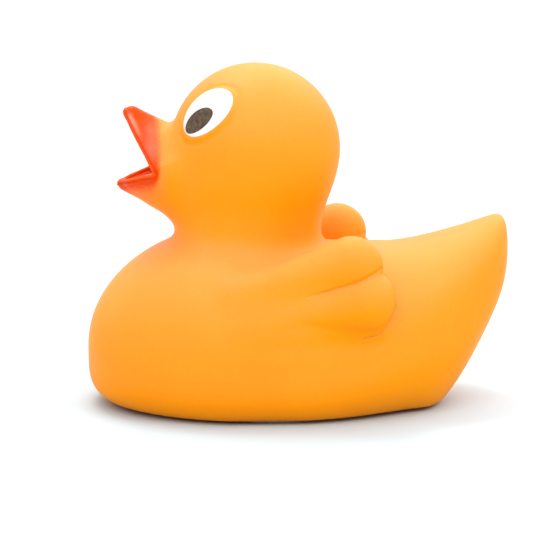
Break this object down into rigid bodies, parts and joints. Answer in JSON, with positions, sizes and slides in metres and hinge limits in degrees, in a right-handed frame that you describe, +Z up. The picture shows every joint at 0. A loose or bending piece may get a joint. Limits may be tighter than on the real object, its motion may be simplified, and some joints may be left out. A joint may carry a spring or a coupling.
{
  "type": "floating chlorine dispenser",
  "caption": "Soft duck-shaped pool float with an open beak and a flat base; a twist-off bottom cap drops a tablet basket and carries a flow ring.",
  "frame": {"origin": "on the chamber's vertical axis, in the plane of the foot ring that the duck stands on", "axes": "+Z up; the beak points along -X; +Y is the duck's right flank"},
  "size_m": [0.1599, 0.109, 0.129],
  "materials": {
    "duck_vinyl": "soft matte vinyl with a faint sheen",
    "eye_white": "white paint, satin",
    "pupil": "dark brown-black paint, satin",
    "chamber": "moulded polypropylene, fine grain",
    "seal": "soft rubber",
    "ballast": "zinc casting with a grey coat",
    "vent_tube": "translucent silicone tube",
    "vent_elbow": "moulded polypropylene",
    "basket": "moulded polypropylene, fine grain",
    "tablet": "pressed powder, chalky",
    "cap": "moulded polypropylene, fine grain",
    "flow_ring": "moulded acetal, satin",
    "washer": "low-friction plastic",
    "snap_ring": "moulded acetal"
  },
  "bodies": {
    "root": {"float_shell": "duck_vinyl", "eye_white_left": "eye_white", "eye_white_right": "eye_white", "pupil_left": "pupil", "pupil_right": "pupil", "chamber": "chamber", "shell_seal": "seal", "ballast_ring": "ballast", "vent_tube": "vent_tube", "vent_elbow": "vent_elbow"},
    "basket": {"basket": "basket", "tablets": "tablet"},
    "cap": {"base_cap": "cap", "cap_o_ring": "seal", "friction_washer": "washer", "retaining_ring": "snap_ring"},
    "flow_ring": {"flow_ring": "flow_ring"}
  },
  "joints": [
    {"name": "basket_drop", "type": "slide", "parent": "root", "child": "basket", "axis": [0, 0, -1], "range_m": [0, 0.045]},
    {"name": "cap_turn", "type": "hinge", "parent": "basket", "child": "cap", "pos_m": [0, 0, 0], "axis": [0, 0, -1], "range_deg": [0, 450.1]},
    {"name": "flow_ring_turn", "type": "hinge", "parent": "cap", "child": "flow_ring", "pos_m": [0, 0, 0], "axis": [0, 0, 1], "range_deg": [0, 45]}
  ],
  "couplings": [
    {"joint": "cap_turn", "follows": "basket_drop", "rad_per_m": 174.53}
  ]
}
